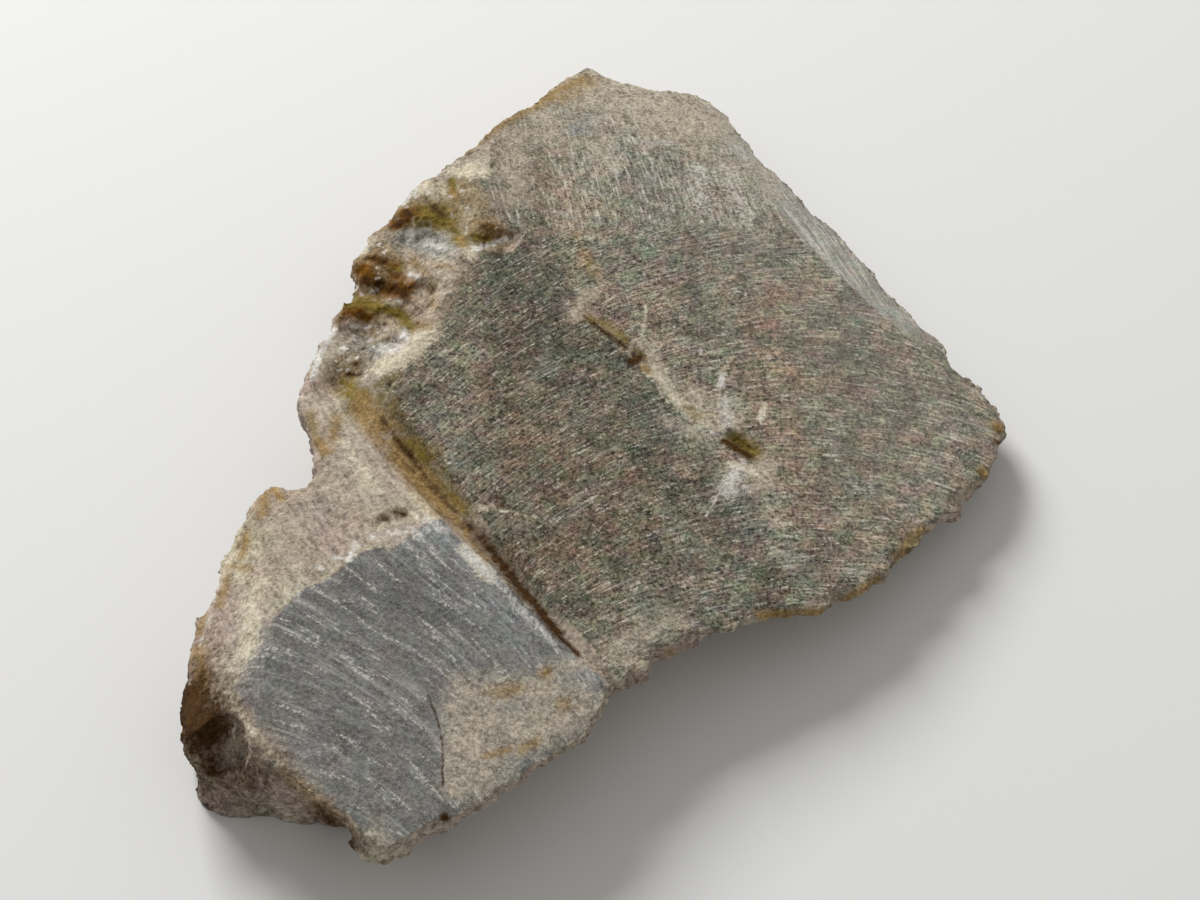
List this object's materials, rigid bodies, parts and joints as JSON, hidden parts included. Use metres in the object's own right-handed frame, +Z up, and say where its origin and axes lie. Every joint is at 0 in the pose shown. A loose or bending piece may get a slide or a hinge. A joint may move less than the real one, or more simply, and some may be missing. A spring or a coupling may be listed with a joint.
{
  "type": "herderite mineral specimen slab",
  "caption": "Irregular slab of grey-brown herderite with flat ground faces, a groove and crack, and a broken, undercut rim; lies on its flat sawn base.",
  "frame": {"origin": "on the sawn base's plane, under the middle of the slab's bounding box", "axes": "+Z up out of the ground faces' side, +Y along the slab's longest direction towards its far end, +X across it towards the thin edge"},
  "size_m": [0.0468, 0.0594, 0.0083],
  "materials": {
    "herderite": "matt lapped faces with fine grinding scratches; rough broken rim with iron staining"
  },
  "bodies": {
    "root": {"herderite_slab": "herderite"}
  },
  "joints": []
}
